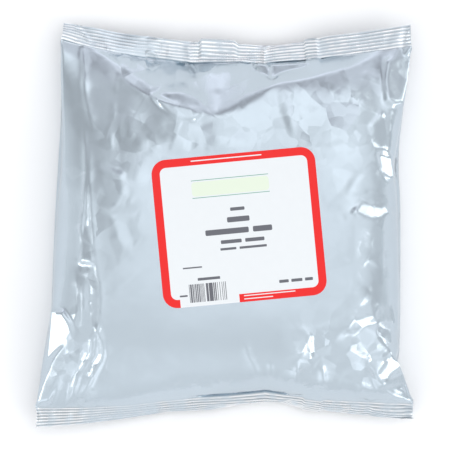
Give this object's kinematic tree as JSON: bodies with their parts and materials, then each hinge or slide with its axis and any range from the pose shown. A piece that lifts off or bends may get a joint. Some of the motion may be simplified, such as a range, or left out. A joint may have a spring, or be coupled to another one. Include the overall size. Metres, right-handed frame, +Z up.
{
  "type": "filled foil pillow bag",
  "caption": "Sealed pillow bag of metallised foil film, crimped across both ends and fin-sealed down the back, with a red-bordered paper label and cardamom pods inside, lying on its back.",
  "frame": {"origin": "middle of the bag's box, on the surface it lies on", "axes": "+Z up out of the labelled front, +Y along the bag towards its gathered top seal, +X across it to the right as seen from the front"},
  "size_m": [0.2366, 0.2518, 0.0483],
  "materials": {
    "metallised_film": "satin silver laminate, crinkled",
    "label_paper": "smooth coated paper, white with a red printed border",
    "dried_pod_husk": "dry matt green husk"
  },
  "bodies": {
    "root": {"foil_bag": "metallised_film", "label": "label_paper", "cardamom_pods": "dried_pod_husk"}
  },
  "joints": []
}
